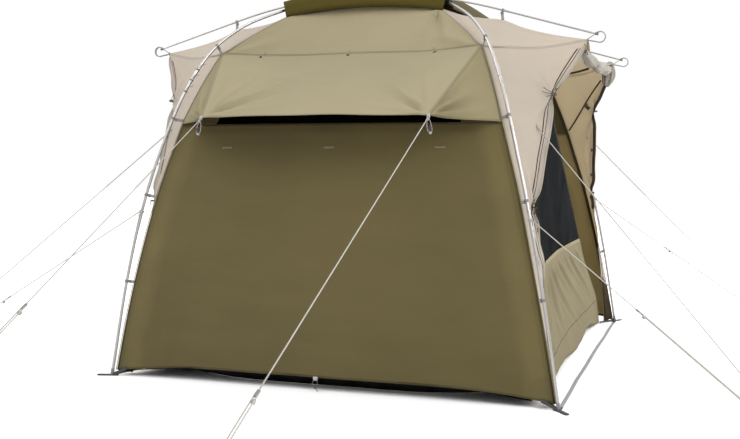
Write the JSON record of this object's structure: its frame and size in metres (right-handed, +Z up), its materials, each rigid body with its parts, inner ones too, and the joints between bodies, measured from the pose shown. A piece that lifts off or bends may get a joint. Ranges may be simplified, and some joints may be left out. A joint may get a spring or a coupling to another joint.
{
  "type": "family tent",
  "caption": "Free-standing family tent on two crossing main poles and two wing poles, with front and rear hoods, open side doors, guy lines and pegs.",
  "frame": {"origin": "on the ground, under the middle of the roof", "axes": "+Z up, +Y from the front wall to the rear wall, +X to the right seen from the front"},
  "size_m": [4.6766, 8.7102, 2.3006],
  "materials": {
    "pole_silver": "satin",
    "cloth_beige": "woven polyester",
    "cloth_khaki": "woven polyester",
    "cloth_olive": "woven polyester",
    "mesh_black": "fine net",
    "skirt_black": "coated cloth",
    "web_grey": "webbing",
    "cord_cream": "braided cord",
    "peg_steel": "plain"
  },
  "bodies": {
    "root": {"main_pole_a": "pole_silver", "main_pole_b": "pole_silver", "wing_pole_front": "pole_silver", "wing_pole_rear": "pole_silver", "ground_strap_right": "web_grey", "ground_strap_left": "web_grey", "roof_cap": "cloth_olive", "roof_vent_mesh": "mesh_black", "roof_panel_front": "cloth_khaki", "roof_panel_rear": "cloth_khaki", "roof_wing_right": "cloth_beige", "roof_wing_left": "cloth_beige", "hood_front": "cloth_khaki", "hood_rear": "cloth_khaki", "upper_wall_front": "cloth_khaki", "upper_wall_rear": "cloth_khaki", "vent_mesh_front": "mesh_black", "vent_mesh_rear": "mesh_black", "wall_cover_front": "cloth_olive", "wall_cover_rear": "cloth_olive", "mud_skirt_front": "skirt_black", "mud_skirt_rear": "skirt_black", "corner_panel_front_right": "cloth_beige", "corner_panel_front_left": "cloth_beige", "corner_panel_rear_right": "cloth_beige", "corner_panel_rear_left": "cloth_beige", "side_mesh_right": "mesh_black", "side_mesh_left": "mesh_black", "side_panel_right": "cloth_khaki", "side_panel_left": "cloth_khaki", "rolled_door_right": "cloth_beige", "rolled_door_left": "cloth_beige", "corner_guys_front_right": "cord_cream", "corner_guys_front_left": "cord_cream", "corner_guys_rear_right": "cord_cream", "corner_guys_rear_left": "cord_cream", "hood_guy_front_right": "cord_cream", "hood_guy_front_left": "cord_cream", "hood_guy_rear_right": "cord_cream", "hood_guy_rear_left": "cord_cream", "corner_peg_front_right": "peg_steel", "corner_peg_front_left": "peg_steel", "corner_peg_rear_right": "peg_steel", "corner_peg_rear_left": "peg_steel", "hood_peg_front_right": "peg_steel", "hood_peg_front_left": "peg_steel", "hood_peg_rear_right": "peg_steel", "hood_peg_rear_left": "peg_steel"}
  },
  "joints": []
}
